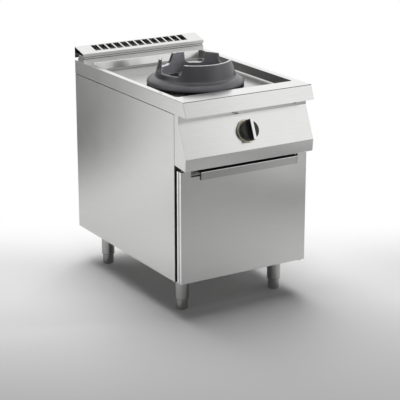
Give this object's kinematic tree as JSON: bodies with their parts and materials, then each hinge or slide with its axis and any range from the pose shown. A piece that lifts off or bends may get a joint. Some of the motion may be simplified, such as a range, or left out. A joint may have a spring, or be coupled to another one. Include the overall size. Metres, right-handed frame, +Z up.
{
  "type": "gas wok range",
  "caption": "Free-standing stainless gas wok range: lift-off cast-iron wok ring in a recessed worktop, slotted flue, slanted panel with knob, cupboard with door, adjustable legs.",
  "frame": {"origin": "on the floor under the middle of the range's bounding box, knob included", "axes": "+Z up, -Y towards the user at the front, +X to the user's right"},
  "size_m": [0.6, 0.9554, 0.966],
  "materials": {
    "stainless_body": "satin, brushed along the sheet",
    "stainless_top": "satin, bright",
    "stainless_inner": "mill finish",
    "zinc_steel": "zinc plated",
    "cast_iron": "matt, dark grey",
    "knob_plastic": "semi-gloss black",
    "knob_strip": "brushed along the strip",
    "knob_bezel": "satin champagne",
    "brass": "machined",
    "copper": "drawn tube",
    "nylon": "matt",
    "black_plastic": "matt"
  },
  "bodies": {
    "body": {"side_panel_left": "stainless_body", "side_panel_right": "stainless_body", "control_panel": "stainless_body", "leg_front_left": "stainless_body", "leg_front_right": "stainless_body", "leg_rear_left": "stainless_body", "leg_rear_right": "stainless_body", "worktop": "stainless_top", "flue_riser": "stainless_top", "flue_cap": "stainless_top", "back_panel": "stainless_inner", "base_panel": "stainless_inner", "front_post_left": "stainless_inner", "front_post_right": "stainless_inner", "front_rail": "stainless_inner", "cupboard_ceiling": "stainless_inner", "burner_well": "stainless_inner", "panel_screws": "zinc_steel", "valve_bracket": "zinc_steel", "burner_screws": "zinc_steel", "hinge_bracket_upper": "zinc_steel", "hinge_bracket_lower": "zinc_steel", "leg_screws": "zinc_steel", "burner_body": "cast_iron", "knob_bezel": "knob_bezel", "gas_valve": "brass", "gas_inlet": "brass", "injector": "brass", "pilot_burner": "brass", "gas_pipe": "copper", "burner_pipe": "copper", "pilot_pipe": "copper", "thermocouple": "copper", "magnet_catch": "black_plastic"},
    "door": {"door_skin": "stainless_body", "door_pan": "stainless_body", "door_handle": "stainless_top", "door_bush_upper": "nylon", "door_bush_lower": "nylon", "strike_plate": "zinc_steel"},
    "push_collar": {"spindle_collar": "zinc_steel"},
    "control_knob": {"valve_spindle": "brass", "knob": "knob_plastic", "knob_strip": "knob_strip"},
    "ring": {"wok_ring": "cast_iron"},
    "cap": {"burner_cap": "cast_iron"},
    "adjuster_front_left": {"foot_front_left": "stainless_body"},
    "adjuster_front_right": {"foot_front_right": "stainless_body"},
    "adjuster_rear_left": {"foot_rear_left": "stainless_body"},
    "adjuster_rear_right": {"foot_rear_right": "stainless_body"}
  },
  "joints": [
    {"name": "door_hinge", "type": "hinge", "parent": "body", "child": "door", "pos_m": [0.282, -0.38828, 0.385], "axis": [0, 0, 1], "range_deg": [0, 110]},
    {"name": "knob_press", "type": "slide", "parent": "body", "child": "push_collar", "axis": [0, 0.9212, -0.389], "range_m": [0, 0.003], "stiffness_N_per_m": 1500, "springref_m": -0.003},
    {"name": "knob_turn", "type": "hinge", "parent": "push_collar", "child": "control_knob", "pos_m": [0, -0.4169, 0.74659], "axis": [0, -0.9212, 0.389], "range_deg": [0, 270]},
    {"name": "wok_ring_lift", "type": "slide", "parent": "body", "child": "ring", "axis": [0, 0, 1], "range_m": [0, 0.12]},
    {"name": "burner_cap_lift", "type": "slide", "parent": "body", "child": "cap", "axis": [0, 0, 1], "range_m": [0, 0.1]},
    {"name": "foot_front_left_adjust", "type": "slide", "parent": "body", "child": "adjuster_front_left", "axis": [0, 0, -1], "range_m": [0, 0.03]},
    {"name": "foot_front_right_adjust", "type": "slide", "parent": "body", "child": "adjuster_front_right", "axis": [0, 0, -1], "range_m": [0, 0.03]},
    {"name": "foot_rear_left_adjust", "type": "slide", "parent": "body", "child": "adjuster_rear_left", "axis": [0, 0, -1], "range_m": [0, 0.03]},
    {"name": "foot_rear_right_adjust", "type": "slide", "parent": "body", "child": "adjuster_rear_right", "axis": [0, 0, -1], "range_m": [0, 0.03]}
  ]
}
